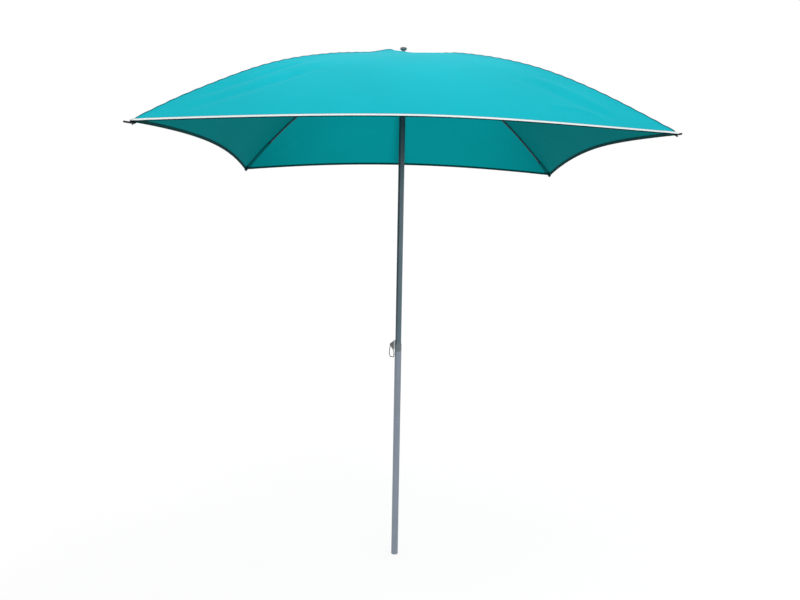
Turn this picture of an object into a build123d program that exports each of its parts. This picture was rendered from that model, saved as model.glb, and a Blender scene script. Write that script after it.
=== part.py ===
from build123d import *
import os
import math

# Square four-rib beach umbrella. Millimetres, +Z up.
# Origin: centre of the pole's foot, on the plane the foot stands on.
# The canopy's sides face -Y (front), +Y (back), -X (left) and +X (right),
# and the four ribs run out along the diagonals.

# ---------------------------------------------------------------- dimensions
HALF = 900.0                 # half of the canopy's side, corner to corner 1800
RIDGE_Z = [2350.2, 2335.1, 2308.9, 2271.4, 2224.2, 2163.2, 2087.4, 2002.3, 1908.1]
EDGE_IN = 40.0               # how far each hem curves inwards at mid side
EDGE_MID = 31.9              # the same at half way from mid side to corner
EDGE_80 = 13.8               # the same at four fifths of the way
CLOTH = 1.5                  # canopy cloth, as a solid
HOLE = 20.0                  # half width of the opening at the crown
MID_GAP = 0.5                # half gap between two halves of one side
BIND_W = 4.0                 # binding, across the hem
BIND_T = 3.0                 # binding, thickness

LOW_R, LOW_WALL, LOW_TOP = 16.0, 1.2, 1012.0
UP_R, UP_WALL = 14.0, 1.2
UP_BOTTOM, UP_TOP = 780.0, 2338.0
NECK_R = 15.4                # the lower tube's end, rolled down inside its collar
COLLAR_Z0, COLLAR_Z1 = 1000.0, 1033.2
PIN_Z, PIN_R, HOLE_R = 1036.0, 2.4, 2.6
HOLE_STEP, HOLE_N = 80.0, 4

PIVOT_R, PIVOT_Z = 22.0, 2336.0      # rib hinge at the hub
ROD_R, ROD_WALL = 3.5, 0.9
ROD_DROP = 9.5                       # rod axis below the ridge line
ELBOW_R, ELBOW_DROP = 509.0, 21.5    # stretcher pivot under the rib, below the ridge line
RUN_PIVOT_R, RUN_PIVOT_Z = 26.0, 2120.0
TIP_CLOSED_R = 24.0                  # where the rib end lies when folded
STRETCH_R = 3.0

# ------------------------------------------------------------------- helpers
os.makedirs("parts", exist_ok=True)


def save(name, *solids):
    """One STEP file per node, holding its separate solids."""
    out = []
    for s in solids:
        out += list(s.solids())
    shape = out[0] if len(out) == 1 else Compound(children=out)
    export_step(shape, f"parts/{name}.step")


def tube(r_out, r_in, z0, z1):
    h = z1 - z0
    body = Pos(0, 0, z0 + h / 2) * Cylinder(r_out, h)
    if r_in:
        body -= Pos(0, 0, z0 + h / 2) * Cylinder(r_in, h + 2)
    return body


def rod_between(p, q, r):
    p, q = Vector(*p), Vector(*q)
    plane = Plane(origin=p, z_dir=(q - p).normalized())
    return extrude(plane * Circle(r), (q - p).length)


def along_y(x, z, r, y0, y1):
    """A cylinder along Y."""
    return Pos(x, (y0 + y1) / 2, z) * Rot(90, 0, 0) * Cylinder(r, y1 - y0)


def along_x(z, r, x0, x1):
    return Pos((x0 + x1) / 2, 0, z) * Rot(0, 90, 0) * Cylinder(r, x1 - x0)


def lathe(points):
    """A solid turned about Z from (r, z) points."""
    return revolve(Plane.XZ * make_face(Polyline(*points, close=True)), Axis.Z)


def ridge(r):
    """Height of the cloth over a rib at distance r from the pole, by a
    piecewise cubic through the measured heights."""
    t = r / (HALF * math.sqrt(2)) * 8
    i = min(7, max(0, int(t)))
    f = t - i
    y = RIDGE_Z
    def m(k):
        if k <= 0:
            return -5.0
        if k >= 8:
            return y[8] - y[7]
        return (y[k + 1] - y[k - 1]) / 2
    a, b, da, db = y[i], y[i + 1], m(i), m(i + 1)
    return ((2 * f**3 - 3 * f**2 + 1) * a + (f**3 - 2 * f**2 + f) * da
            + (-2 * f**3 + 3 * f**2) * b + (f**3 - f**2) * db)


# ---------------------------------------------------------- fold of the ribs
TIP_R = HALF * math.sqrt(2) - 6.0            # end of the rod, inside its cap
TIP_Z = ridge(TIP_R) - ROD_DROP
chord = math.hypot(TIP_R - PIVOT_R, PIVOT_Z - TIP_Z)
open_angle = math.degrees(math.atan2(PIVOT_Z - TIP_Z, TIP_R - PIVOT_R))
closed_angle = math.degrees(math.acos((TIP_CLOSED_R - PIVOT_R) / chord))
RIB_TURN = closed_angle - open_angle
ELBOW_Z = ridge(ELBOW_R) - ELBOW_DROP
ARM = math.hypot(ELBOW_R - RUN_PIVOT_R, ELBOW_Z - RUN_PIVOT_Z)
ex, ez = ELBOW_R - PIVOT_R, ELBOW_Z - PIVOT_Z
c, s = math.cos(math.radians(-RIB_TURN)), math.sin(math.radians(-RIB_TURN))
cx, cz = PIVOT_R + c * ex - s * ez, PIVOT_Z + s * ex + c * ez
closed_run_z = cz - math.sqrt(ARM**2 - (cx - RUN_PIVOT_R) ** 2)
RUN_TRAVEL = RUN_PIVOT_Z - closed_run_z
arm_open = math.degrees(math.atan2(RUN_PIVOT_Z - ELBOW_Z, RUN_PIVOT_R - ELBOW_R)) % 360
arm_closed = math.degrees(math.atan2(closed_run_z - cz, RUN_PIVOT_R - cx)) % 360
ARM_TURN = arm_closed - arm_open + RIB_TURN

# ------------------------------------------------------------ lower pole
LOW_BORE = LOW_R - LOW_WALL
lower_tube = lathe([(LOW_BORE, 0), (LOW_R, 0), (LOW_R, COLLAR_Z0), (NECK_R, COLLAR_Z0),
                    (NECK_R, LOW_TOP), (LOW_BORE, LOW_TOP)])
save("lower_tube", lower_tube)

plug = tube(LOW_R - LOW_WALL, 0, 0.4, 22)
plug -= Pos(0, 0, 14) * Cylinder(LOW_R - LOW_WALL - 2.2, 17)
save("foot_plug", plug)

# Collar flush with the lower tube, with a rounded tab standing up at its front.
collar = lathe([(NECK_R, COLLAR_Z0), (LOW_R, COLLAR_Z0), (LOW_R, COLLAR_Z1 - 0.8),
                (LOW_R - 0.8, COLLAR_Z1), (UP_R + 0.1, COLLAR_Z1),
                (UP_R + 0.1, LOW_TOP), (NECK_R, LOW_TOP)])
TAB_R, TAB_Z = 8.0, 1037.0
tab = tube(LOW_R - 0.35, UP_R + 0.1, LOW_TOP + 8, TAB_Z + TAB_R + 2)
tab &= along_y(0, TAB_Z, TAB_R, -20, 0) + Pos(0, -10, (LOW_TOP + 8 + TAB_Z) / 2) * Box(2 * TAB_R, 20, TAB_Z - LOW_TOP - 8)
collar += tab
save("lower_collar", collar)

# ------------------------------------------------------------ upper pole
upper = tube(UP_R, UP_R - UP_WALL, UP_BOTTOM, UP_TOP)
for k in range(HOLE_N + 1):
    upper -= along_x(PIN_Z + k * HOLE_STEP, HOLE_R, -UP_R - 2, UP_R + 2)
CATCH_Z0, CATCH_Z1, CATCH_W = 2060.0, 2076.0, 5.0
upper -= Pos(0, UP_R, (CATCH_Z0 + CATCH_Z1) / 2) * Box(CATCH_W + 0.6, 8, CATCH_Z1 - CATCH_Z0 + 0.6)
save("upper_tube", upper)

bush = lathe([(UP_R - UP_WALL, UP_BOTTOM - 0.0), (UP_R - UP_WALL, UP_BOTTOM + 14),
              (UP_R - UP_WALL - 1.6, UP_BOTTOM + 14), (UP_R - UP_WALL - 1.6, UP_BOTTOM - 12),
              (LOW_R - LOW_WALL - 0.1, UP_BOTTOM - 12), (LOW_R - LOW_WALL - 0.1, UP_BOTTOM)])
save("guide_bush", bush)

# Hub on the tube's top: a thick disc with four radial slots, a pin across each.
HUB_R, HUB_Z0, HUB_Z1 = 29.0, 2322.0, 2344.5
SLOT = 10.0
hub = lathe([(UP_R, 2300), (17.6, 2300), (18.4, 2303), (18.4, HUB_Z0), (HUB_R - 2, HUB_Z0),
             (HUB_R, HUB_Z0 + 2), (HUB_R, HUB_Z1 - 3), (HUB_R - 4, HUB_Z1), (0, HUB_Z1),
             (0, UP_TOP), (UP_R, UP_TOP)])
for az in (45, 135, 225, 315):
    hub -= Rot(0, 0, az) * Pos(17.2 + 8, 0, (HUB_Z0 + HUB_Z1) / 2) * Box(16, SLOT, 40)
HUB_PIN_R, HUB_PIN_L = 1.6, 19.0
pins = []
for az in (45, 135, 225, 315):
    pin = Rot(0, 0, az) * along_y(PIVOT_R, PIVOT_Z, HUB_PIN_R, -HUB_PIN_L / 2, HUB_PIN_L / 2)
    hub -= pin
    pins.append(pin)
stud = tube(4.0, 0, HUB_Z1 - 4, 2371)
hub -= stud
save("top_hub", hub)
save("hub_pins", *pins)
save("top_stud", stud)

# Reinforcing patch over the crown, held down by a washer and the finial.
PATCH_R = 92.0
patch = lathe([(4.0, 2364.0), (16, 2363.0), (40, 2359.0), (70, 2354.5), (PATCH_R, 2352.0),
               (PATCH_R, 2353.4), (70, 2355.9), (40, 2360.4), (16, 2364.6), (4.0, 2365.6)])
save("crown_patch", patch)
washer = lathe([(4.0, 2365.6), (13, 2365.0), (14.5, 2365.8), (14.5, 2366.8), (13, 2367.6), (4.0, 2368.2)])
save("crown_washer", washer)
finial = lathe([(4.0, 2368.2), (9.6, 2368.2), (8.6, 2370.6), (8.2, 2374.4), (9.4, 2376.6), (13.6, 2378.6), (15.2, 2381.0),
                (15.4, 2384.2), (14.2, 2387.0), (10.6, 2388.8), (5.2, 2389.6), (0, 2389.8), (0, 2371), (4.0, 2371)])
save("finial", finial)

# ------------------------------------------------------------------ runner
RUN_CORE, RUN_FLANGE = 18.3, 34.0
RUN_Z0, RUN_Z1 = 2086.0, 2140.0
RB = UP_R + 0.1
runner = lathe([(RB, RUN_Z0 + 30), (RUN_CORE, RUN_Z0 + 30), (RUN_FLANGE - 1.5, RUN_Z0 + 30 - 6),
                (RUN_FLANGE, RUN_Z0 + 30 - 4), (RUN_FLANGE, RUN_Z1 - 6), (RUN_FLANGE - 2, RUN_Z1 - 4),
                (RUN_CORE, RUN_Z1 - 2), (RUN_CORE - 1, RUN_Z1), (RB, RUN_Z1)])
for az in (45, 135, 225, 315):
    runner -= Rot(0, 0, az) * Pos(RUN_CORE + 15, 0, 2115) * Box(29.2, 6.4, 90)
save("runner_crown", runner)
grip = lathe([(RB, RUN_Z0), (16.6, RUN_Z0), (17.6, RUN_Z0 + 1), (17.6, RUN_Z0 + 5), (16.8, RUN_Z0 + 7),
              (16.8, RUN_Z0 + 21), (RUN_CORE, RUN_Z0 + 24), (RUN_CORE, RUN_Z0 + 30), (RB, RUN_Z0 + 30)])
save("runner_grip", grip)

# Spring catch that holds the runner up, level with the tube when pressed.
catch = Pos(0, 0, (CATCH_Z0 + CATCH_Z1) / 2) * Box(CATCH_W, 60, CATCH_Z1 - CATCH_Z0)
catch &= tube(UP_R, 8.2, CATCH_Z0, CATCH_Z1)
catch &= Pos(0, 50, (CATCH_Z0 + CATCH_Z1) / 2) * Box(100, 100, 100)
save("runner_catch", catch)

# ---------------------------------------------------------------- lock pin
# Light saddle that rests on the pole, with the pull head against its back.
SADDLE_X = -21.0
saddle_pts = [(-UP_R - 0.4, 1051.0), (-UP_R - 0.4, 1036.6), (-LOW_R - 0.85, 1034.9), (-LOW_R - 0.85, 1009.0),
              (-LOW_R - 1.3, 1006.0), (SADDLE_X + 1.8, 1006.6), (SADDLE_X, 1014.0), (SADDLE_X, 1048.6),
              (SADDLE_X + 4.0, 1052.6)]
pin_saddle = extrude(Plane.XZ * make_face(Polyline(*saddle_pts, close=True)), 7.4, both=True)
try:
    pin_saddle = fillet([e for e in pin_saddle.edges() if abs(e.center().Y) > 7.3 and e.center().X < -16.9
                         and abs(e.center().Z - 1030) > 12], 0.9)
except Exception:
    pass
pin_saddle -= along_x(PIN_Z, PIN_R, -25, -10)
save("pin_saddle", pin_saddle)

head_pts = [(SADDLE_X, 1048.4), (-38.2, 1035.4), (-40.2, 1032.2), (-40.0, 1028.6), (-26.0, 1008.4),
            (-23.6, 1006.6), (SADDLE_X, 1008.0)]
head = extrude(Plane.XZ * make_face(Polyline(*head_pts, close=True)), 6.5, both=True)
side = [e for e in head.edges() if abs(e.center().Y) > 6.4]
try:
    head = fillet([e for e in side if e.center().X < SADDLE_X - 0.5], 1.2)
except Exception:
    pass
RIV_X, RIV_Z, RIV_R = -33.6, 1022.6, 1.5
# slot for the bail, open to the left and below
BAIL_SLOT, BAIL_TOP, BAIL_X = 4.8, 1028.8, SADDLE_X
head -= Pos(BAIL_X - 14, 0, BAIL_TOP - 15) * Box(30, BAIL_SLOT, 30)
head -= along_y(RIV_X, RIV_Z, RIV_R, -8, 8)
head -= along_x(PIN_Z, PIN_R, -28.6, -10)
save("pin_head", head)
shaft = along_x(PIN_Z, PIN_R, -28.6, 14.9)
shaft = fillet(shaft.edges().filter_by(GeomType.CIRCLE).sort_by(Axis.X)[-1:], 0.8)
save("pin_shaft", shaft)
save("pin_rivet", along_y(RIV_X, RIV_Z, RIV_R, -6.2, 6.2))
RING_R = 1.8
RING_BEND = 4.4
ring_top = RIV_Z + RIV_R + RING_R + 0.15      # the wire hangs on the rivet
lx, lz, qx, qz = -42.0, 989.0, -19.5, 992.0
apex_x, apex = RIV_X, 1035.0
for _ in range(80):
    # the bend is concentric with the rivet in x, and clears its top
    a1 = math.atan2(apex_x - lx, apex - lz)
    a2 = math.atan2(qx - apex_x, apex - qz)
    reach = RING_BEND / math.sin((a1 + a2) / 2)
    tilt = (a2 - a1) / 2
    apex_x += RIV_X - (apex_x + reach * math.sin(tilt))
    apex += ring_top - (apex - reach * math.cos(tilt) + RING_BEND)
ring_pts = [(apex_x, apex), (lx, lz), (-36.2, 973.2), (-20.1, 969.6), (qx, qz)]
ring_path = FilletPolyline(*[Vector(x, 0, z) for x, z in ring_pts], radius=RING_BEND, close=True)
start = ring_path @ 0
ring = sweep(Plane(origin=start, z_dir=ring_path % 0) * Circle(RING_R), path=ring_path)
save("pin_ring", ring)

# ------------------------------------------------------------ ribs and arms
# Everything is built in the XZ plane, as if the rib ran out along +X, then
# turned about Z to each diagonal.
rod_pts = [(PIVOT_R + 9.0, ridge(PIVOT_R + 9.0) - ROD_DROP)]
STEPS = 9
for i in range(1, STEPS + 1):
    r = PIVOT_R + 9.0 + (TIP_R - PIVOT_R - 9.0) * i / STEPS
    rod_pts.append((r, ridge(r) - ROD_DROP))
run = (TIP_R - PIVOT_R - 9.0) / STEPS
radii = []
for i in range(1, len(rod_pts) - 1):
    a, b, d = rod_pts[i - 1], rod_pts[i], rod_pts[i + 1]
    t1 = math.atan2(b[1] - a[1], b[0] - a[0])
    t2 = math.atan2(d[1] - b[1], d[0] - b[0])
    radii.append(0.45 * run / math.tan(abs(t2 - t1) / 2))
rod_path = FilletPolyline(*[Vector(x, 0, z) for x, z in rod_pts], radius=radii)
sec = Plane(origin=rod_path @ 0, z_dir=rod_path % 0)
rod = sweep(sec * (Circle(ROD_R) - Circle(ROD_R - ROD_WALL)), path=rod_path)
rod_dir0 = rod_path % 0
rod_dir1 = rod_path % 1
rod_p0, rod_p1 = rod_path @ 0, rod_path @ 1

# hub end: an eye on the hub pin, with a socket over the rod
eye = along_y(PIVOT_R, PIVOT_Z, 4.3, -4.6, 4.6)
ax0 = Plane(origin=rod_p0, z_dir=rod_dir0)
socket = extrude(ax0 * Circle(4.6), 26)
neck = Pos(PIVOT_R + 6.2, 0, PIVOT_Z) * Box(9.5, 8.6, 6.4)
ferrule = eye + neck + socket
ferrule -= along_y(PIVOT_R, PIVOT_Z, HUB_PIN_R + 0.06, -8, 8)
ferrule -= extrude(ax0 * Circle(ROD_R), 40)


def on_rod(r):
    """Point on the rod's axis at distance r from the pole, and its direction."""
    lo, hi = 0.0, 1.0
    for _ in range(40):
        mid = (lo + hi) / 2
        if (rod_path @ mid).X < r:
            lo = mid
        else:
            hi = mid
    return rod_path @ lo, rod_path % lo


# elbow: a saddle round the rod with a lug hanging below it
pe, de = on_rod(ELBOW_R - 2)
saddle_plane = Plane(origin=pe - de * 15, z_dir=de)
saddle = extrude(saddle_plane * Circle(ROD_R + 1.6), 34)
lug = along_y(ELBOW_R, ELBOW_Z, 4.6, -1.5, 1.5)
up = Vector(0, 0, 1)
lug_web = Pos(ELBOW_R, 0, (ELBOW_Z + pe.Z) / 2 - 0.5) * Box(9.2, 3.0, pe.Z - ELBOW_Z - 1)
bracket = saddle + lug + lug_web
bracket -= extrude(Plane(origin=pe - de * 40, z_dir=de) * Circle(ROD_R + 0.02), 90)
RIVET_R = 1.8
bracket -= along_y(ELBOW_R, ELBOW_Z, RIVET_R, -5, 5)
rivet = along_y(ELBOW_R, ELBOW_Z, RIVET_R, -4.6, 4.6)
rivet += along_y(ELBOW_R, ELBOW_Z, 3.0, -5.6, -4.3) + along_y(ELBOW_R, ELBOW_Z, 3.0, 4.3, 5.6)

# rib end: a moulded cap over the rod's end, its nose bent out level; the cap
# of the front left rib carries the long nose, the others a short one
CAP_R, NOSE_R = 4.4, 3.3
NOSE_LONG, NOSE_SHORT = 27.4, 11.5
pc = rod_p1 - rod_dir1 * 34


def rib_cap(reach):
    cap = extrude(Plane(origin=pc, z_dir=rod_dir1) * Circle(CAP_R), 36)
    cap = fillet(cap.edges().sort_by(Axis.X)[-1:], 1.4)
    nose_end = (rod_p1.X + reach, 0, rod_p1.Z + 1.0)
    cap += rod_between((rod_p1.X, 0, rod_p1.Z), nose_end, NOSE_R)
    cap += Pos(*nose_end) * Sphere(NOSE_R)
    return cap - extrude(Plane(origin=pc - rod_dir1 * 2, z_dir=rod_dir1) * Circle(ROD_R + 0.02), 36)


caps = {"fl": rib_cap(NOSE_LONG)}
for q in ("br", "bl", "fr"):
    caps[q] = rib_cap(NOSE_SHORT)

# corner pocket: a short sleeve of doubled cloth round the cap
pp = rod_p1 - rod_dir1 * 28
pocket = extrude(Plane(origin=pp, z_dir=rod_dir1) * (Circle(5.5) - Circle(CAP_R)), 27)

# stretcher arm: fork at the elbow, rod, flat tongue at the runner
vx, vz = RUN_PIVOT_R - ELBOW_R, RUN_PIVOT_Z - ELBOW_Z
ux, uz = vx / ARM, vz / ARM
ang = math.degrees(math.atan2(uz, ux))
arm_rod = rod_between((ELBOW_R + ux * 14, 0, ELBOW_Z + uz * 14),
                      (RUN_PIVOT_R - ux * 14, 0, RUN_PIVOT_Z - uz * 14), STRETCH_R)
turn = Pos(ELBOW_R, 0, ELBOW_Z) * Rot(0, -ang, 0)
fork = Pos(6.5, 0, 0) * Box(13, 8.2, 6.6) + Rot(90, 0, 0) * Cylinder(3.3, 8.2) + Pos(15, 0, 0) * Box(8, 8.2, 6.6)
fork -= Pos(2.0, 0, 0) * Box(18.0, 3.6, 20)
fork -= Rot(90, 0, 0) * Cylinder(RIVET_R + 0.06, 20)
turn2 = Pos(RUN_PIVOT_R, 0, RUN_PIVOT_Z) * Rot(0, -ang + 180, 0)
tongue = Rot(90, 0, 0) * Cylinder(3.2, 4.0) + Pos(9, 0, 0) * Box(18, 4.0, 6.0)
tongue -= Rot(90, 0, 0) * Cylinder(1.6, 20)
arm = (turn * fork) + arm_rod + (turn2 * tongue)

# ------------------------------------------------------------------- canopy
# Cloth of one side is a cylinder: its height depends only on the distance
# from the pole along that side's own direction. Two halves per side.
R2 = math.sqrt(2)
TOP_S = HALF + 3


def band(thick, s0, s1, mid=0.0, n=19):
    """The cloth's section in the YZ plane, from s0 to s1."""
    up_pts, lo_pts = [], []
    for i in range(n):
        sv = s0 + (s1 - s0) * i / (n - 1)
        z = ridge(min(sv, HALF) * R2) - max(0.0, sv - HALF) * 0.84 + mid
        up_pts.append((0, sv, z + thick / 2))
        lo_pts.append((0, sv, z - thick / 2))
    top = Spline(*[Vector(*p) for p in up_pts])
    bot = Spline(*[Vector(*p) for p in lo_pts])
    e0 = Line(up_pts[0], lo_pts[0])
    e1 = Line(up_pts[-1], lo_pts[-1])
    return make_face([top, bot, e0, e1])


def hem(shift, x0):
    """Plan curve of the hem from mid side to the corner, moved in by shift."""
    pts = [(x0, HALF - EDGE_IN - shift), (0.5 * HALF, HALF - EDGE_MID - shift),
           (0.8 * HALF, HALF - EDGE_80 - shift), (HALF - shift, HALF - shift)]
    return [Vector(x, y, 0) for x, y in pts]


def half_panel():
    solid = extrude(band(CLOTH, 12, TOP_S), HALF + 10, dir=(1, 0, 0))
    edge = Spline(*hem(BIND_W, MID_GAP))
    p0 = Vector(MID_GAP, HOLE, 0)
    p1 = Vector(HOLE, HOLE, 0)
    outline = make_face([Line(p0, edge @ 0), edge, Line(edge @ 1, p1), Line(p1, p0)])
    return solid & extrude(Pos(0, 0, 1800) * outline, 700)


def half_binding():
    solid = extrude(band(BIND_T, HALF - 80, TOP_S), HALF + 10, dir=(1, 0, 0))
    e1 = Spline(*hem(BIND_W, MID_GAP))
    e2 = Spline(*hem(0.0, MID_GAP))
    outline = make_face([Line(e1 @ 0, e2 @ 0), e2, Line(e2 @ 1, e1 @ 1), e1])
    return solid & extrude(Pos(0, 0, 1700) * outline, 800)


hp = half_panel()
hb = half_binding()
diag = Plane(origin=(0, 0, 0), x_dir=(0, 0, 1), z_dir=(1, -1, 0))
hp_m = hp.mirror(diag)
hb_m = hb.mirror(diag)
print("half panel", hp.volume, hp.is_valid, len(hp.solids()), "binding", hb.volume, len(hb.solids()))

# quadrant: name, turn about Z from the (+X, +Y) quadrant, its two sides
QUADS = [("br", 0, "back", "right"), ("bl", 90, "left", "back"),
         ("fl", 180, "front", "left"), ("fr", 270, "right", "front")]
for q, az, first, second in QUADS:
    T = Rot(0, 0, az)
    R = Rot(0, 0, az + 45)
    save(f"rib_rod_{q}", R * rod)
    save(f"rib_ferrule_{q}", R * ferrule)
    save(f"rib_bracket_{q}", R * bracket)
    save(f"rib_rivet_{q}", R * rivet)
    save(f"rib_cap_{q}", R * caps[q])
    save(f"corner_pocket_{q}", R * pocket)
    save(f"stretcher_{q}", R * arm)
    save(f"canopy_{first}_{q}", T * hp)
    save(f"canopy_{second}_{q}", T * hp_m)
    save(f"binding_{q}", T * hb, T * hb_m)

print("rib turn", round(RIB_TURN, 4), "arm turn", round(ARM_TURN, 4), "runner travel", round(RUN_TRAVEL, 3))
print("elbow", ELBOW_R, round(ELBOW_Z, 3), "arm length", round(ARM, 3), "chord", round(chord, 2),
      "open angle", round(open_angle, 3), "radii", [round(x) for x in radii])
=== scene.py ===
import bpy
import math
import numpy as np
from mathutils import Matrix, Vector


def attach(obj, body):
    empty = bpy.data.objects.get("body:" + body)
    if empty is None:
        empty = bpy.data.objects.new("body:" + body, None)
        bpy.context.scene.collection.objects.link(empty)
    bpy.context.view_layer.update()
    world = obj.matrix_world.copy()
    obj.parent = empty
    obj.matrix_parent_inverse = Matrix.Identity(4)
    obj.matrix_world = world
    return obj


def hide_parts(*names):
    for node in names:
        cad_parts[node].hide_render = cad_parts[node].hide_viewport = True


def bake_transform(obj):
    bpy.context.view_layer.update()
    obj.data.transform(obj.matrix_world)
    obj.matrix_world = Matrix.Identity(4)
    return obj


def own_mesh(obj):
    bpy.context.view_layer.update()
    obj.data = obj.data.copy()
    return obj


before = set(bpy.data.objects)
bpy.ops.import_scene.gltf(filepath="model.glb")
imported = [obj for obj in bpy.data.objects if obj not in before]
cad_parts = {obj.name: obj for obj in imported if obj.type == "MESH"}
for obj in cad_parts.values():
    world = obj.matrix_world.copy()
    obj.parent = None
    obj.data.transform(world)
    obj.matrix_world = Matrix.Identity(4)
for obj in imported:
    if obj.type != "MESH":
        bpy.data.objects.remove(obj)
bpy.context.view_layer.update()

# --------------------------------------------------------------- camera
yaw, pitch, roll = (math.radians(v) for v in (1.1777, -6.0103, 1.0438))
cf = np.array([math.sin(yaw) * math.cos(pitch), math.cos(yaw) * math.cos(pitch), math.sin(pitch)])
cr = np.array([math.cos(yaw), -math.sin(yaw), 0.0])
cu = np.cross(cr, cf)
r2 = math.cos(roll) * cr + math.sin(roll) * cu
u2 = -math.sin(roll) * cr + math.cos(roll) * cu
cam_data = bpy.data.cameras.new("camera")
cam = bpy.data.objects.new("camera", cam_data)
bpy.context.scene.collection.objects.link(cam)
cam_data.sensor_width = 36.0
cam_data.lens = 30.6355
cam_data.clip_start = 0.05
cam_data.clip_end = 200.0
M = Matrix.Identity(4)
for i in range(3):
    M[i][0], M[i][1], M[i][2] = r2[i], u2[i], -cf[i]
M[0][3], M[1][3], M[2][3] = -0.0606, -3.17615, 1.57665
cam.matrix_world = M
bpy.context.scene.camera = cam

# --------------------------------------------------------------- surface
HALF = 0.9
RIDGE = np.array([2.3502, 2.3351, 2.3089, 2.2714, 2.2242, 2.1632, 2.0874, 2.0023, 1.9081])
KN = np.linspace(0.0, HALF, 9)


def spline_through(x, y, slope0):
    """Natural cubic at the end, set slope at the start: second derivatives."""
    n = len(x)
    h = np.diff(x)
    A = np.zeros((n, n))
    b = np.zeros(n)
    A[0, 0], A[0, 1] = 2 * h[0], h[0]
    b[0] = 6 * ((y[1] - y[0]) / h[0] - slope0)
    for i in range(1, n - 1):
        A[i, i - 1], A[i, i], A[i, i + 1] = h[i - 1], 2 * (h[i - 1] + h[i]), h[i]
        b[i] = 6 * ((y[i + 1] - y[i]) / h[i] - (y[i] - y[i - 1]) / h[i - 1])
    A[-1, -1] = 1
    return np.linalg.solve(A, b)


M2 = spline_through(KN, RIDGE, -0.06)


def ridge(s):
    s = np.asarray(s, float)
    i = np.clip(np.searchsorted(KN, s) - 1, 0, 7)
    h = KN[1] - KN[0]
    a = (KN[i + 1] - s) / h
    b = (s - KN[i]) / h
    z = a * RIDGE[i] + b * RIDGE[i + 1] + ((a**3 - a) * M2[i] + (b**3 - b) * M2[i + 1]) * h * h / 6
    over = np.maximum(0.0, s - HALF)
    return np.where(over > 0, RIDGE[-1] - over * 0.84, z)


def smooth(t):
    t = np.clip(t, 0, 1)
    return t * t * (3 - 2 * t)


def hem_in(u):
    """How far the hem lies inside the corner line, u from 0 at mid side to 1."""
    u = np.abs(u)
    return 0.0400 * (1 - u * u) * (1 - 0.13 * u * u)


# Long soft creases in the cloth, as plan lines: x0, y0, x1, y1, depth, width.
# Those of the front side follow the pull from the crown to the corners.
CREASES = [
    (-0.70, -0.760, -0.400, -0.500, -0.0050, 0.012),
    (-0.73, -0.835, -0.330, -0.560, -0.0065, 0.016),
    (-0.66, -0.705, -0.560, -0.620, -0.0035, 0.009),
    (-0.56, -0.700, -0.300, -0.470, 0.0026, 0.022),
    (0.46, -0.600, 0.690, -0.800, 0.0042, 0.016),
    (0.49, -0.660, 0.700, -0.835, -0.0036, 0.015),
    (0.50, -0.780, 0.660, -0.830, 0.0034, 0.012),
    (0.36, -0.560, 0.600, -0.760, -0.0020, 0.020),
    (-0.600, 0.515, -0.760, 0.640, -0.0070, 0.010),
    (-0.560, 0.500, -0.780, 0.690, 0.0050, 0.010),
    (-0.640, 0.480, -0.800, 0.600, -0.0040, 0.012),
    (0.700, 0.520, 0.850, 0.700, -0.0036, 0.014),
    (0.620, 0.400, 0.840, 0.600, 0.0030, 0.016),
    (0.500, 0.660, 0.760, 0.830, -0.0032, 0.015),
    (-0.480, 0.640, -0.740, 0.820, -0.0034, 0.014),
    (-0.360, 0.560, -0.600, 0.770, 0.0024, 0.020),
    (0.330, 0.560, 0.620, 0.800, 0.0022, 0.020),
    (0.640, -0.460, 0.840, -0.660, -0.0038, 0.014),
    (0.560, -0.350, 0.800, -0.560, 0.0026, 0.018),
    (-0.640, -0.430, -0.840, -0.640, -0.0038, 0.014),
    (-0.550, -0.330, -0.810, -0.560, 0.0026, 0.019),
    (-0.700, 0.100, -0.830, 0.160, -0.0014, 0.030),
    (0.690, 0.060, 0.830, 0.020, 0.0014, 0.030),
    (0.080, 0.700, 0.020, 0.830, 0.0014, 0.030),
]


def relief(x, y):
    """Small out-of-surface relief of the cloth at a plan point."""
    d = np.zeros_like(x)
    for x0, y0, x1, y1, depth, wid in CREASES:
        vx, vy = x1 - x0, y1 - y0
        L2 = vx * vx + vy * vy
        t = ((x - x0) * vx + (y - y0) * vy) / L2
        tc = np.clip(t, 0, 1)
        # a slight bend keeps a crease from looking ruled
        bow = 0.010 * np.sin(math.pi * tc) * (1 if depth > 0 else -1)
        nx, ny = -vy / math.sqrt(L2), vx / math.sqrt(L2)
        dist2 = (x - x0 - tc * vx - bow * nx) ** 2 + (y - y0 - tc * vy - bow * ny) ** 2
        end = smooth((t + 0.25) / 0.5) * smooth((1.25 - t) / 0.5)
        d += depth * end * np.exp(-dist2 / (wid * wid))
    # shallow puckers where the cloth is gathered into the ridge seams
    r = np.hypot(x, y)
    off = np.abs(np.abs(x) - np.abs(y)) / math.sqrt(2)
    ph = np.where(np.abs(x) > np.abs(y), 0.0, 1.7) + np.arctan2(y, x) * 3
    d += 0.0007 * np.exp(-off / 0.030) * np.sin(r * 2 * math.pi / 0.047 + ph) * smooth((r - 0.12) / 0.2)
    # very broad unevenness, a few millimetres
    d += 0.0016 * np.sin(x * 5.1 + 0.7) * np.sin(y * 4.3 - 0.4) * smooth((r - 0.15) / 0.3)
    return d


def crown(x, y):
    """The cloth is tented over the hub, highest a little to the left."""
    e = ((x + 0.052) / 0.085) ** 2 + (y / 0.085) ** 2
    hump = 0.0104 * np.exp(-np.abs((x + 0.095) / 0.052) ** 3.5 - ((y + 0.055) / 0.075) ** 2)
    side = 0.0050 * np.exp(-((x - 0.055) / 0.085) ** 2 - ((y + 0.075) / 0.080) ** 2)
    return (0.0155 * np.exp(-np.power(e, 1.25)) + 0.002 * np.exp(-((x * x + y * y) / 0.0022))
            + hump + side)


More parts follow.
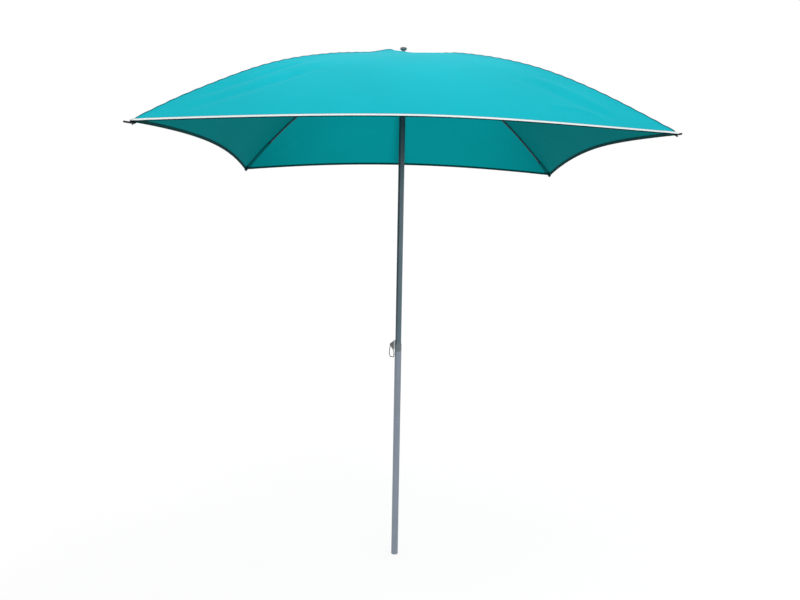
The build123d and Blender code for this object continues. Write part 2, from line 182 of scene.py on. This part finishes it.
TRIM_S = [0.0, 0.11, 0.18, 0.225, 0.34, 0.45, 0.56, 0.675, 0.79, 0.86, 0.90]
TRIM_L = [0.0, 0.0, -0.0025, -0.0042, -0.0050, -0.0046, -0.0044, -0.0036, -0.0008, 0.0, 0.0]
TRIM_R = [0.0, 0.0005, 0.0030, 0.0055, 0.0040, 0.0008, -0.0014, -0.0024, -0.0048, -0.0044, -0.0032]


def trim(x, y):
    """Uneven stretch of the two front ridges, a few millimetres."""
    s = np.maximum(np.abs(x), np.abs(y))
    lean = np.abs(np.arctan2(np.abs(y), np.abs(x) + 1e-9) - math.pi / 4) / (math.pi / 4)
    w = smooth(1 - lean) * (y < 0)
    return w * np.where(x < 0, np.interp(s, TRIM_S, TRIM_L), np.interp(s, TRIM_S, TRIM_R))


def height(x, y):
    ax, ay = np.abs(x), np.abs(y)
    s = np.maximum(ax, ay)
    lat = np.minimum(ax, ay) / np.maximum(s, 1e-6)
    lift = 0.0065 * (1 - lat**2) * smooth((s - 0.45) / 0.42)
    return ridge(s) + lift + crown(x, y) + relief(x, y) + trim(x, y)


def normal(x, y, side):
    """Unit normal, by differences taken on that side of the ridge only."""
    e = 0.0008
    dx, dy = side
    # step inwards from the ridge so that both samples are on this side
    def h(px, py):
        a = px * dx + py * dy          # outward coordinate
        b = px * -dy + py * dx         # lateral coordinate
        s = a
        lat = np.abs(b) / np.maximum(s, 1e-6)
        lift = 0.0065 * (1 - np.minimum(lat, 1) ** 2) * smooth((s - 0.45) / 0.42)
        return ridge(s) + lift + crown(px, py) + relief(px, py) + trim(px, py)
    gx = (h(x + e, y) - h(x - e, y)) / (2 * e)
    gy = (h(x, y + e) - h(x, y - e)) / (2 * e)
    n = np.stack([-gx, -gy, np.ones_like(gx)], -1)
    return n / np.linalg.norm(n, axis=-1, keepdims=True)


# --------------------------------------------------------------- materials
def new_material(name):
    m = bpy.data.materials.new(name)
    m.use_nodes = True
    nt = m.node_tree
    b = nt.nodes["Principled BSDF"]
    return m, nt, b


def node(nt, kind, **kw):
    n = nt.nodes.new(kind)
    for k, v in kw.items():
        if k in n.inputs.keys():
            n.inputs[k].default_value = v
        else:
            setattr(n, k, v)
    return n


def ramp(nt, fac, stops):
    r = nt.nodes.new("ShaderNodeValToRGB")
    cr_ = r.color_ramp
    while len(cr_.elements) < len(stops):
        cr_.elements.new(0.5)
    for e, (p, c) in zip(cr_.elements, stops):
        e.position = p
        e.color = (*c, 1) if len(c) == 3 else c
    nt.links.new(fac, r.inputs["Fac"])
    return r.outputs["Color"]


def coords(nt, scale=(1, 1, 1), kind="Object", rot=(0, 0, 0)):
    tc = nt.nodes.new("ShaderNodeTexCoord")
    mp = nt.nodes.new("ShaderNodeMapping")
    mp.inputs["Scale"].default_value = scale
    mp.inputs["Rotation"].default_value = rot
    nt.links.new(tc.outputs[kind], mp.inputs["Vector"])
    return mp.outputs["Vector"]


def cloth_material(name, col, col2, rough, sheen, weave=900.0, bump=0.10, trans=0.0, rot=0.0, spec=0.25):
    m, nt, b = new_material(name)
    v = coords(nt, rot=(0, 0, rot))
    # threads of the plain weave: two crossed sets of fine bands
    w1 = node(nt, "ShaderNodeTexWave", wave_type="BANDS", bands_direction="X", Scale=weave, Distortion=0.6)
    w2 = node(nt, "ShaderNodeTexWave", wave_type="BANDS", bands_direction="Y", Scale=weave, Distortion=0.6)
    nt.links.new(v, w1.inputs["Vector"]); nt.links.new(v, w2.inputs["Vector"])
    mul = node(nt, "ShaderNodeMath", operation="MULTIPLY")
    nt.links.new(w1.outputs["Fac"], mul.inputs[0]); nt.links.new(w2.outputs["Fac"], mul.inputs[1])
    slub = node(nt, "ShaderNodeTexNoise", Scale=34.0, Detail=5.0, Roughness=0.62)
    sv = coords(nt, scale=(1, 1, 1))
    nt.links.new(sv, slub.inputs["Vector"])
    broad = node(nt, "ShaderNodeTexNoise", Scale=3.2, Detail=2.0, Roughness=0.5)
    nt.links.new(sv, broad.inputs["Vector"])
    mix = node(nt, "ShaderNodeMath", operation="MULTIPLY_ADD")
    nt.links.new(slub.outputs["Fac"], mix.inputs[0]); mix.inputs[1].default_value = 0.35
    nt.links.new(broad.outputs["Fac"], mix.inputs[2])
    sub = node(nt, "ShaderNodeMath", operation="MULTIPLY_ADD")
    nt.links.new(mul.outputs[0], sub.inputs[0]); sub.inputs[1].default_value = 0.10
    nt.links.new(mix.outputs[0], sub.inputs[2])
    c = ramp(nt, sub.outputs[0], [(0.42, col2), (0.92, col)])
    nt.links.new(c, b.inputs["Base Color"])
    rr = node(nt, "ShaderNodeMapRange")
    rr.inputs["To Min"].default_value = rough - 0.06
    rr.inputs["To Max"].default_value = rough + 0.08
    nt.links.new(slub.outputs["Fac"], rr.inputs["Value"])
    nt.links.new(rr.outputs["Result"], b.inputs["Roughness"])
    b.inputs["Specular IOR Level"].default_value = spec
    b.inputs["Sheen Weight"].default_value = sheen
    b.inputs["Sheen Roughness"].default_value = 0.45
    b.inputs["Transmission Weight"].default_value = 0.0
    bp = node(nt, "ShaderNodeBump", Strength=bump, Distance=0.0006)
    nt.links.new(mul.outputs[0], bp.inputs["Height"])
    bp2 = node(nt, "ShaderNodeBump", Strength=0.10, Distance=0.0012)
    nt.links.new(slub.outputs["Fac"], bp2.inputs["Height"])
    nt.links.new(bp.outputs["Normal"], bp2.inputs["Normal"])
    nt.links.new(bp2.outputs["Normal"], b.inputs["Normal"])
    return m


def lin(h):
    h = h.lstrip("#")
    out = []
    for i in (0, 2, 4):
        c = int(h[i:i + 2], 16) / 255
        out.append(c / 12.92 if c <= 0.04045 else ((c + 0.055) / 1.055) ** 2.4)
    return tuple(out)


def scaled(c, k):
    return tuple(min(1.0, v * k) for v in c)


OUTER = (0.0045, 0.506, 0.598)
INNER = (0.0004, 0.182, 0.192)
cloth_outer = cloth_material("cloth_outer", OUTER, scaled(OUTER, 0.92), 0.62, 0.03, spec=0.03)
cloth_inner = cloth_material("cloth_inner", INNER, scaled(INNER, 0.92), 0.80, 0.0, spec=0.01)
# hem band: the inner cloth darkened to a fifth, painted shade along the hem
cloth_hem_painted_shade = cloth_material("cloth_hem_painted_shade", scaled(INNER, 0.22), scaled(INNER, 0.15), 0.80, 0.0, spec=0.03)
# sleeve: the inner cloth darkened, painted shade under the rib
cloth_sleeve_painted_shade = cloth_material("cloth_sleeve_painted_shade", scaled(INNER, 0.62), scaled(INNER, 0.50), 0.80, 0.0, spec=0.03, weave=760.0)
tape_white = cloth_material("tape_white", (0.90, 0.93, 0.93), (0.80, 0.84, 0.85), 0.72, 0.10, weave=700.0, bump=0.25)
pocket_dark = cloth_material("pocket_dark", (0.002, 0.030, 0.036), (0.001, 0.018, 0.022), 0.80, 0.0, weave=520.0, bump=0.4, spec=0.03)
# stitch row: real thread, its darker teal also painted shadow of the stitch groove
thread_and_groove_shadow = cloth_material("thread", scaled(OUTER, 0.50), scaled(OUTER, 0.38), 0.7, 0.0, weave=1600.0, bump=0.2, spec=0.05)
# welt: dark teal, painted shadow along the ridge seam
welt_painted_shadow = cloth_material("welt", (0.002, 0.120, 0.170), (0.001, 0.085, 0.125), 0.7, 0.0, weave=1200.0, bump=0.3, spec=0.05)
thread_white = cloth_material("thread_white", (0.72, 0.78, 0.79), (0.6, 0.66, 0.67), 0.6, 0.15, weave=1600.0, bump=0.2)


def metal(name, col, rough, spread, brush=(1, 1, 0.02), scale=260.0, bump=0.03, metallic=1.0, col2=None):
    m, nt, b = new_material(name)
    v = coords(nt, scale=brush)
    n1 = node(nt, "ShaderNodeTexNoise", Scale=scale, Detail=6.0, Roughness=0.6)
    nt.links.new(v, n1.inputs["Vector"])
    v2 = coords(nt)
    n2 = node(nt, "ShaderNodeTexNoise", Scale=9.0, Detail=4.0, Roughness=0.6)
    nt.links.new(v2, n2.inputs["Vector"])
    c = ramp(nt, n2.outputs["Fac"], [(0.30, col2 or scaled(col, 0.86)), (0.70, col)])
    nt.links.new(c, b.inputs["Base Color"])
    rr = node(nt, "ShaderNodeMapRange")
    rr.inputs["To Min"].default_value = rough - spread
    rr.inputs["To Max"].default_value = rough + spread
    nt.links.new(n1.outputs["Fac"], rr.inputs["Value"])
    nt.links.new(rr.outputs["Result"], b.inputs["Roughness"])
    b.inputs["Metallic"].default_value = metallic
    bp = node(nt, "ShaderNodeBump", Strength=bump, Distance=0.0004)
    nt.links.new(n1.outputs["Fac"], bp.inputs["Height"])
    nt.links.new(bp.outputs["Normal"], b.inputs["Normal"])
    return m


def plastic(name, col, rough=0.5, grain=900.0, bump=0.12, col2=None, spec=0.4):
    m, nt, b = new_material(name)
    v = coords(nt)
    n1 = node(nt, "ShaderNodeTexNoise", Scale=grain, Detail=3.0, Roughness=0.6)
    nt.links.new(v, n1.inputs["Vector"])
    n2 = node(nt, "ShaderNodeTexNoise", Scale=60.0, Detail=4.0, Roughness=0.6)
    nt.links.new(v, n2.inputs["Vector"])
    c = ramp(nt, n2.outputs["Fac"], [(0.32, col2 or scaled(col, 0.8)), (0.68, col)])
    nt.links.new(c, b.inputs["Base Color"])
    rr = node(nt, "ShaderNodeMapRange")
    rr.inputs["To Min"].default_value = rough - 0.08
    rr.inputs["To Max"].default_value = rough + 0.10
    nt.links.new(n2.outputs["Fac"], rr.inputs["Value"])
    nt.links.new(rr.outputs["Result"], b.inputs["Roughness"])
    b.inputs["Specular IOR Level"].default_value = spec
    bp = node(nt, "ShaderNodeBump", Strength=bump, Distance=0.0004)
    nt.links.new(n1.outputs["Fac"], bp.inputs["Height"])
    nt.links.new(bp.outputs["Normal"], b.inputs["Normal"])
    return m


lower_alu = metal("lower_aluminium", (0.255, 0.296, 0.352), 0.42, 0.08)
upper_alu = metal("upper_aluminium", (0.118, 0.168, 0.196), 0.36, 0.08)
collar_plastic = plastic("collar_plastic", (0.150, 0.185, 0.205), 0.45)
black_plastic = plastic("black_plastic", (0.012, 0.012, 0.014), 0.48)
finial_plastic = plastic("finial_plastic", (0.20, 0.205, 0.215), 0.40)
washer_plastic = plastic("washer_plastic", (0.36, 0.44, 0.47), 0.45)
pin_plastic = plastic("pin_plastic", (0.155, 0.155, 0.155), 0.5)
saddle_plastic = plastic("saddle_plastic", (0.48, 0.52, 0.54), 0.42)
rib_paint = metal("rib_paint", (0.004, 0.008, 0.020), 0.45, 0.06, brush=(1, 1, 1), scale=300.0, metallic=0.0)
zinc = metal("zinc", (0.50, 0.51, 0.52), 0.34, 0.08, brush=(1, 1, 1), scale=420.0)
ring_wire = metal("ring_wire", (0.006, 0.007, 0.008), 0.45, 0.08, brush=(1, 1, 1), scale=420.0, metallic=0.0)

FINISH = {"lower_tube": lower_alu, "upper_tube": upper_alu, "foot_plug": black_plastic,
          "lower_collar": collar_plastic, "guide_bush": collar_plastic, "top_hub": black_plastic,
          "hub_pins": zinc, "top_stud": zinc, "crown_washer": washer_plastic, "finial": finial_plastic,
          "runner_crown": black_plastic, "runner_grip": black_plastic, "runner_catch": zinc,
          "pin_head": pin_plastic, "pin_saddle": saddle_plastic, "pin_shaft": zinc, "pin_rivet": zinc, "pin_ring": ring_wire}
for q in ("br", "bl", "fl", "fr"):
    FINISH.update({"rib_rod_" + q: rib_paint, "rib_ferrule_" + q: zinc, "rib_bracket_" + q: zinc,
                   "rib_rivet_" + q: zinc, "rib_cap_" + q: black_plastic, "stretcher_" + q: rib_paint})


def shade(mesh, angle=38.0):
    mesh.polygons.foreach_set("use_smooth", [True] * len(mesh.polygons))
    mesh.set_sharp_from_angle(angle=math.radians(angle))


for name, mat in FINISH.items():
    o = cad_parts[name]
    for s in o.material_slots:
        s.link = "OBJECT"
        s.material = mat


# --------------------------------------------------------------- mesh maker
def make(name, verts, faces, mats, mat_index=None, normals=None):
    me = bpy.data.meshes.new(name)
    me.from_pydata([tuple(map(float, v)) for v in verts], [], [tuple(map(int, f)) for f in faces])
    for m in mats:
        me.materials.append(m)
    if mat_index is not None:
        me.polygons.foreach_set("material_index", list(map(int, mat_index)))
    me.validate()
    me.update()
    me.polygons.foreach_set("use_smooth", [True] * len(me.polygons))
    if normals is not None:
        me.normals_split_custom_set_from_vertices([tuple(map(float, n)) for n in normals])
    o = bpy.data.objects.new(name, me)
    bpy.context.scene.collection.objects.link(o)
    return o


QUADS = [("br", (1, 1), (("back", (0, 1)), ("right", (1, 0)))),
         ("bl", (-1, 1), (("left", (-1, 0)), ("back", (0, 1)))),
         ("fl", (-1, -1), (("front", (0, -1)), ("left", (-1, 0)))),
         ("fr", (1, -1), (("right", (1, 0)), ("front", (0, -1))))]
T_CLOTH = 0.0007
HOLE = 0.024

NT, NU = ((120, 52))
TAPE_W = 0.0078


def hem_s(u):
    """Outward distance of the hem on the ray lateral = u * outward."""
    s = HALF - 0.02
    for _ in range(6):
        s = HALF - hem_in(u * s / HALF)
    return s


# Rays are packed closer near the ridge, where the cloth bends most.
UU = 1 - (1 - np.linspace(0, 1, NU + 1)) ** 1.15
HEM = np.array([hem_s(u) for u in UU])


def place(d, sgn, s, l):
    """Plan point at outward distance s, lateral l towards the quadrant."""
    e = np.array([sgn[0], 0.0]) if d[1] else np.array([0.0, sgn[1]])
    return s * d[0] + l * e[0], s * d[1] + l * e[1]


def half_surface(d, sgn, offset, t0=0.0, t1=1.0, nt=NT, back=0.0, reach=None):
    """Grid of points and normals on one half side, offset along the normal."""
    tt = np.linspace(t0, t1, nt + 1)
    T, U = np.meshgrid(tt, UU, indexing="ij")
    if reach is not None:
        # only a band along the ridge, no wider than reach
        U = np.maximum(0.0, 1 - reach * math.sqrt(2) / (HOLE + (HALF - HOLE) * T)) * (1 - U) + U
    H = np.interp(U, UU, HEM)
    S = HOLE + (H - back - HOLE) * T
    L = U * S
    X, Y = place(d, sgn, S, L)
    N = normal(X, Y, d)
    Z = height(X, Y)
    # at the ridge both halves share one direction, halfway between theirs
    er = np.array([sgn[0], sgn[1]]) / math.sqrt(2)
    el = np.array([-er[1], er[0], 0.0])
    nr = N[:, -1] - (N[:, -1] @ el)[:, None] * el
    nr_len = np.linalg.norm(nr, axis=-1, keepdims=True)
    k = np.ones(T.shape)
    Nout = N.copy()
    Nout[:, -1] = nr / nr_len
    k[:, -1] = 1 / nr_len[:, 0]
    P = np.stack([X, Y, Z], -1) + Nout * (offset * k)[..., None]
    return P, Nout, N


def shell(name, d, sgn, outer, inner, mats, t0=0.0, t1=1.0, nt=NT, back=0.0, inner_mat=1, rim_mat=0, reach=None):
    """Closed thin shell between two offsets of a half side."""
    P0, N0, R0 = half_surface(d, sgn, outer, t0, t1, nt, back, reach)
    P1, N1, R1 = half_surface(d, sgn, inner, t0, t1, nt, back, reach)
    a, b = P0.shape[:2]
    V = np.concatenate([P0.reshape(-1, 3), P1.reshape(-1, 3)])
    NN = np.concatenate([R0.reshape(-1, 3), -R1.reshape(-1, 3)])
    idx = np.arange(a * b).reshape(a, b)
    jdx = idx + a * b
    flip = (d[0] * sgn[1] - d[1] * sgn[0]) > 0 if d[1] == 0 else (d[1] * sgn[0]) < 0
    e = np.array([sgn[0], 0.0]) if d[1] else np.array([0.0, sgn[1]])
    cross = d[0] * e[1] - d[1] * e[0]     # sign of outward x lateral
    faces, mi = [], []
    for i in range(a - 1):
        for j in range(b - 1):
            q = (idx[i, j], idx[i + 1, j], idx[i + 1, j + 1], idx[i, j + 1])
            p = (jdx[i, j], jdx[i, j + 1], jdx[i + 1, j + 1], jdx[i + 1, j])
            if cross < 0:
                q, p = q[::-1], p[::-1]
            faces += [q, p]
            mi += [0, inner_mat]
    def strip(A, B):
        for k in range(len(A) - 1):
            f = (A[k], B[k], B[k + 1], A[k + 1])
            faces.append(f if cross > 0 else f[::-1])
            mi.append(rim_mat)
    strip(idx[-1, :], jdx[-1, :])
    strip(idx[0, ::-1], jdx[0, ::-1])
    strip(idx[::-1, -1], jdx[::-1, -1])
    strip(idx[:, 0], jdx[:, 0])
    return make(name, V, faces, mats, mi, NN)


for q, sgn, sides in QUADS:
    er = np.array(sgn) / math.sqrt(2)
    body = "rib_" + q
    for side, d in sides:
        tag = f"{side}_{q}"
        cloth = shell("cloth_" + tag, d, sgn, T_CLOTH / 2, -T_CLOTH / 2, [cloth_outer, cloth_inner])
        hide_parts("canopy_" + tag)
        tape = shell("tape_" + tag, d, sgn, 0.00125, T_CLOTH / 2 + 0.00005, [tape_white], t0=1 - TAPE_W / HALF, t1=1.0015,
                     nt=3, inner_mat=0)
        # dark hem band under the edge; its darkness is painted shade
        hem = shell("hem_" + tag, d, sgn, -T_CLOTH / 2 - 0.00005, -0.0016, [cloth_hem_painted_shade], t0=1 - 0.0085 / HALF, t1=1.0034,
                    nt=3, inner_mat=0)
        # stitch row; its darker teal is partly painted shadow of the groove
        stitch = shell("stitch_" + tag, d, sgn, 0.00062, T_CLOTH / 2 + 0.00004, [thread_and_groove_shadow],
                       t0=1 - (TAPE_W + 0.0022) / HALF, t1=1 - (TAPE_W + 0.0006) / HALF, nt=2, inner_mat=0)
        if side == sides[0][0]:
            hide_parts("binding_" + q)
        for o in (cloth, tape, hem, stitch):
            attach(o, body)
            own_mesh(o)

        # lining of doubled cloth under the crown; it is gathered less, so it
        # fills the space between two folded ribs
        lining = shell("lining_" + tag, d, sgn, -0.0013, -0.0019, [cloth_outer, cloth_inner], t0=0.025, t1=0.460,
                       nt=NT // 3, reach=0.135)
        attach(lining, body)
        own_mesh(lining)

# --------------------------------------------------------------- crown patch
NA, NR = 24, 14
for q, sgn, sides in QUADS:
    er = np.array(sgn) / math.sqrt(2)
    a0 = math.atan2(sgn[1], sgn[0])
    rr_ = np.linspace(0.0045, 0.078, NR + 1)
    aa = np.linspace(a0 - math.pi / 4, a0 + math.pi / 4, NA + 1)
    R, A = np.meshgrid(rr_, aa, indexing="ij")
    X, Y = R * np.cos(A), R * np.sin(A)
    zc = height(X, Y)
    top = zc + 0.0022 * smooth(1 - (R - 0.012) / 0.066) + 0.0013
    core = smooth(1 - (R - 0.006) / 0.02)
    top = top * (1 - core) + np.maximum(top, 2.3656) * core
    up = np.stack([X, Y, top], -1)
    dn = np.stack([X, Y, top - 0.0009], -1)
    n1, n2 = up.shape[:2]
    V = np.concatenate([up.reshape(-1, 3), dn.reshape(-1, 3)])
    idx = np.arange(n1 * n2).reshape(n1, n2)
    jdx = idx + n1 * n2
    faces = []
    for i in range(n1 - 1):
        for j in range(n2 - 1):
            faces.append((idx[i, j], idx[i + 1, j], idx[i + 1, j + 1], idx[i, j + 1]))
            faces.append((jdx[i, j], jdx[i, j + 1], jdx[i + 1, j + 1], jdx[i + 1, j]))
    for A_, B_ in ((idx[-1, :], jdx[-1, :]), (idx[0, ::-1], jdx[0, ::-1]),
                   (idx[::-1, -1], jdx[::-1, -1]), (idx[:, 0], jdx[:, 0])):
        for k in range(len(A_) - 1):
            faces.append((A_[k], B_[k], B_[k + 1], A_[k + 1]))
    patch = make("patch_" + q, V, faces, [cloth_outer])
    shade(patch.data, 50)
    if q == "br":
        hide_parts("crown_patch")
    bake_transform(patch)

# ------------------------------------------------- pockets, sleeves, welts
def rib_frame(sgn):
    er = np.array(sgn) / math.sqrt(2)
    return er, np.array([-er[1], er[0]])


def strip_solid(rows, thick_dir=(0, 0, -1), thick=0.0009):
    """Closed sheet from rows of points, given a thickness along a direction."""
    n1, n2 = len(rows), len(rows[0])
    up = np.array(rows, float)
    dn = up + np.array(thick_dir) * thick
    V = np.concatenate([up.reshape(-1, 3), dn.reshape(-1, 3)])
    idx = np.arange(n1 * n2).reshape(n1, n2)
    jdx = idx + n1 * n2
    F = []
    for i in range(n1 - 1):
        for j in range(n2 - 1):
            F.append((idx[i, j], idx[i + 1, j], idx[i + 1, j + 1], idx[i, j + 1]))
            F.append((jdx[i, j], jdx[i, j + 1], jdx[i + 1, j + 1], jdx[i + 1, j]))
    for A_, B_ in ((idx[-1, :], jdx[-1, :]), (idx[0, ::-1], jdx[0, ::-1]),
                   (idx[::-1, -1], jdx[::-1, -1]), (idx[:, 0], jdx[:, 0])):
        for k in range(len(A_) - 1):
            F.append((A_[k], B_[k], B_[k + 1], A_[k + 1]))
    return V, F


R_END = HALF * math.sqrt(2)
ROD_DROP = 0.0095
for q, sgn, sides in QUADS:
    er, el = rib_frame(sgn)

    def under(r, off, drop):
        x, y = er[0] * r + el[0] * off, er[1] * r + el[1] * off
        return (x, y, float(height(np.array([x]), np.array([y]))[0]) - drop)

    def slack(r):
        return float(trim(np.array([er[0] * r]), np.array([er[1] * r]))[0])

    # corner pocket: a small doubled patch of cloth round the rib end
    rows = []
    for i in range(17):
        t = i / 16
        r = R_END - 0.0045 - 0.036 * (1 - t)
        wid = 0.0035 + 0.0125 * (1 - t) ** 0.8
        row = []
        for j in range(-12, 13):
            off = wid * j / 12
            row.append(under(r, off, 0.0016 + (0.0125 + slack(r)) * math.exp(-(off / 0.0078) ** 4)))
        rows.append(row)
    V, F = strip_solid(rows, thick=0.0010)
    pocket = make("pocket_" + q, V, F, [pocket_dark])
    shade(pocket.data, 50)
    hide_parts("corner_pocket_" + q)
    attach(pocket, "rib_" + q)

    # rib sleeve: a narrow tunnel of cloth sewn under the ridge seam; its cloth is the inner cloth darkened, painted
    # shade under the rib
    r0, r1, n = {"br": 1.150}.get(q, 1.030), R_END - 0.040, 40
    rows = []
    for i in range(n + 1):
        r = r0 + (r1 - r0) * i / n
        row = []
        for j in range(-12, 13):
            off = 0.0118 * j / 12
            pinch = 0.0003 * math.sin(i * 1.9 + j * 0.5)
            row.append(under(r, off, 0.0012 + (0.0128 + slack(r) + pinch) * math.exp(-(off / 0.0074) ** 4)))
        rows.append(row)
    V, F = strip_solid(rows, thick=0.0007)
    sleeve = make("sleeve_" + q, V, F, [cloth_sleeve_painted_shade])
    shade(sleeve.data, 50)
    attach(sleeve, "rib_" + q)

# --------------------------------------------------------------- ridge seams
for q, sgn, sides in QUADS:
    er, el = rib_frame(sgn)
    n = 150
    # a cover strip of cloth over the seam, folded down each side of the ridge
    rows = []
    lo, hi = 0.070, R_END - 0.0175
    for i in range(n + 1):
        r = lo + (hi - lo) * i / n
        x, y = er * r
        body_w = 0.0050 + 0.0210 * math.sin(math.pi * (r / R_END)) ** 0.7
        row = []
        for j in range(-6, 7):
            off = body_w * j / 6
            px, py = er * r + el * off
            row.append((px, py, float(height(np.array([px]), np.array([py]))[0]) + 0.00085))
        rows.append(row)
    V, F = strip_solid(rows, thick=0.0004)
    strip_o = make("ridge_tape_" + q, V, F, [cloth_outer])
    shade(strip_o.data, 60)
    # the welt: a fine corded line of thread standing on the seam; its dark teal is painted shadow along the seam
    rows = []
    for i in range(n + 1):
        r = lo + (hi - lo) * i / n
        x, y = er * r
        z = float(height(np.array([x]), np.array([y]))[0])
        row = []
        for j in range(9):
            a_ = math.pi * j / 8
            off = 0.0019 * math.cos(a_)
            px, py = er * r + el * off
            row.append((px, py, z + 0.0006 + 0.0021 * math.sin(a_)))
        rows.append(row)
    V, F = strip_solid(rows, thick=0.0003)
    welt = make("welt_" + q, V, F, [welt_painted_shadow])
    shade(welt.data, 60)
    for o in (strip_o, welt):
        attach(o, "rib_" + q)

# --------------------------------------------------------------- studio
bpy.ops.mesh.primitive_grid_add(x_subdivisions=8, y_subdivisions=8, size=120, location=(0, 0, -0.0005))
floor = bpy.context.object
floor.name = "floor"
fm, fnt, fb = new_material("floor_pale")
fv = coords(fnt)
fn = node(fnt, "ShaderNodeTexNoise", Scale=0.6, Detail=2.0)
fnt.links.new(fv, fn.inputs["Vector"])
fc = ramp(fnt, fn.outputs["Fac"], [(0.3, (0.19, 0.19, 0.19)), (0.7, (0.21, 0.21, 0.21))])
fnt.links.new(fc, fb.inputs["Base Color"])
fb.inputs["Roughness"].default_value = 0.9
fb.inputs["Specular IOR Level"].default_value = 0.0
fb.inputs["Emission Color"].default_value = (1, 1, 1, 1)
fb.inputs["Emission Strength"].default_value = 0.83
floor.data.materials.append(fm)

world = bpy.data.worlds.new("world")
bpy.context.scene.world = world
world.use_nodes = True
wnt = world.node_tree
bg = wnt.nodes["Background"]
bg.inputs["Color"].default_value = (1.0, 1.0, 1.0, 1)
bg.inputs["Strength"].default_value = 1.0


def area(name, loc, target, size, power, color=(1, 1, 1)):
    ld = bpy.data.lights.new(name, "AREA")
    ld.shape = "RECTANGLE"
    ld.size, ld.size_y = size
    ld.energy = power
    ld.color = color
    o = bpy.data.objects.new(name, ld)
    bpy.context.scene.collection.objects.link(o)
    o.location = loc
    dirn = Vector(target) - Vector(loc)
    o.rotation_euler = dirn.to_track_quat("-Z", "Y").to_euler()
    return o


def spot(name, loc, target, angle, power, radius):
    ld = bpy.data.lights.new(name, "SPOT")
    ld.energy = power
    ld.spot_size = math.radians(angle)
    ld.spot_blend = 1.0
    ld.shadow_soft_size = radius
    o = bpy.data.objects.new(name, ld)
    bpy.context.scene.collection.objects.link(o)
    o.location = loc
    o.rotation_euler = (Vector(target) - Vector(loc)).to_track_quat("-Z", "Y").to_euler()
    return o


# soft pool of light on the crown
spot("key", (-0.30, -1.30, 4.4), (-0.06, -0.16, 2.33), 52, 46, 0.45)
# low fill from the front, narrow enough to stay on the back side's inner face
fill = spot("fill", (0.0, -2.15, 0.25), (0.0, 0.62, 2.13), 38, 315, 0.10)
fill.data.color = (0.85, 1.0, 1.09)
lit = bpy.data.collections.new("lit_by_fill")
for name in ("cloth_back_bl", "cloth_back_br"):
    lit.objects.link(bpy.data.objects[name])
fill.light_linking.receiver_collection = lit
# a dark flag to the left, seen by the light but not by the camera
flag_m, flag_nt, flag_b = new_material("flag_grey")
flag_b.inputs["Base Color"].default_value = (0.22, 0.22, 0.22, 1)
flag_b.inputs["Roughness"].default_value = 0.9
flag_b.inputs["Specular IOR Level"].default_value = 0.0
bpy.ops.mesh.primitive_grid_add(x_subdivisions=2, y_subdivisions=2, size=1.0, location=(-2.2, -0.5, 1.70))
flag = bpy.context.object
flag.name = "flag_left"
flag.rotation_euler = (0, math.radians(90), 0)
flag.scale = (1.9, 4.0, 1.0)
flag.data.materials.append(flag_m)
flag.visible_camera = False
sc = bpy.context.scene
sc.view_settings.view_transform = "Standard"
sc.view_settings.look = "None"
sc.view_settings.exposure = 0.0
sc.view_settings.gamma = 1.0
